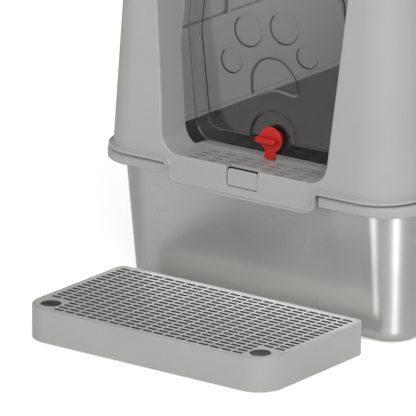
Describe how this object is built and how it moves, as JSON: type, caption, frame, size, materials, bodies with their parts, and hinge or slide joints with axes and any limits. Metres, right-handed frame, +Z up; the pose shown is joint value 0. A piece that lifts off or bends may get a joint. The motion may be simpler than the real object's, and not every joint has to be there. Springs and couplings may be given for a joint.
{
  "type": "enclosed cat litter box",
  "caption": "Hooded litter box: steel tub, tilting grey plastic hood, clear swing flap with a red turn latch, roof carbon filter and a loose step with a lift-off grid.",
  "frame": {"origin": "on the floor, on the underside of the tub's middle pad, under the middle of the hood", "axes": "+Z up, the doorway and the step face -Y, X runs across the doorway"},
  "size_m": [0.3928, 0.6761, 0.4111],
  "materials": {
    "hood_plastic": "fine satin grain",
    "collar_plastic": "fine satin grain",
    "step_plastic": "fine satin grain",
    "tub_steel": "bright satin",
    "pin_steel": "turned",
    "smoke_clear": "clear, polished",
    "latch_red": "semi-gloss",
    "cap_plastic": "moulded",
    "carbon_felt": "fibrous pad",
    "pad_rubber": "soft matt"
  },
  "bodies": {
    "box": {"tub": "tub_steel", "tub_pads": "pad_rubber", "rim_collar": "collar_plastic", "collar_clips": "collar_plastic", "hinge_pins": "pin_steel"},
    "hood": {"hood": "hood_plastic", "catch_pin": "pin_steel", "flap_rod": "pin_steel", "rod_caps": "cap_plastic"},
    "catch": {"front_catch": "hood_plastic", "catch_spring": "pin_steel"},
    "flap": {"flap": "smoke_clear"},
    "latch": {"latch_knob": "latch_red", "latch_retainer": "latch_red", "latch_screw": "pin_steel"},
    "filter": {"filter_basket": "hood_plastic", "carbon_filter": "carbon_felt"},
    "cover": {"filter_cover": "hood_plastic"},
    "step": {"step_tray": "step_plastic", "step_pads": "pad_rubber"},
    "grid": {"step_grid": "step_plastic"}
  },
  "joints": [
    {"name": "hood_tilt", "type": "hinge", "parent": "box", "child": "hood", "pos_m": [0, 0.258, 0.1569], "axis": [-1, 0, 0], "range_deg": [0, 75]},
    {"name": "catch_pull", "type": "hinge", "parent": "hood", "child": "catch", "pos_m": [0, -0.23891, 0.1582], "axis": [-1, 0, 0], "range_deg": [0, 12], "stiffness_Nm_per_rad": 0.05, "springref_deg": -11.46},
    {"name": "flap_swing", "type": "hinge", "parent": "hood", "child": "flap", "pos_m": [0, -0.18805, 0.3549], "axis": [1, 0, 0], "range_deg": [-72, 72]},
    {"name": "latch_turn", "type": "hinge", "parent": "flap", "child": "latch", "pos_m": [0, -0.19, 0.18481], "axis": [0, -1, 0], "range_deg": [0, 90]},
    {"name": "basket_lift", "type": "slide", "parent": "hood", "child": "filter", "axis": [0, 0, 1], "range_m": [0, 0.06]},
    {"name": "cover_lift", "type": "slide", "parent": "filter", "child": "cover", "axis": [0, 0, 1], "range_m": [0, 0.04]},
    {"name": "step_slide", "type": "slide", "parent": "box", "child": "step", "axis": [0, -1, 0], "range_m": [0, 0.15]},
    {"name": "grid_lift", "type": "slide", "parent": "step", "child": "grid", "axis": [0, 0, 1], "range_m": [0, 0.06]}
  ]
}
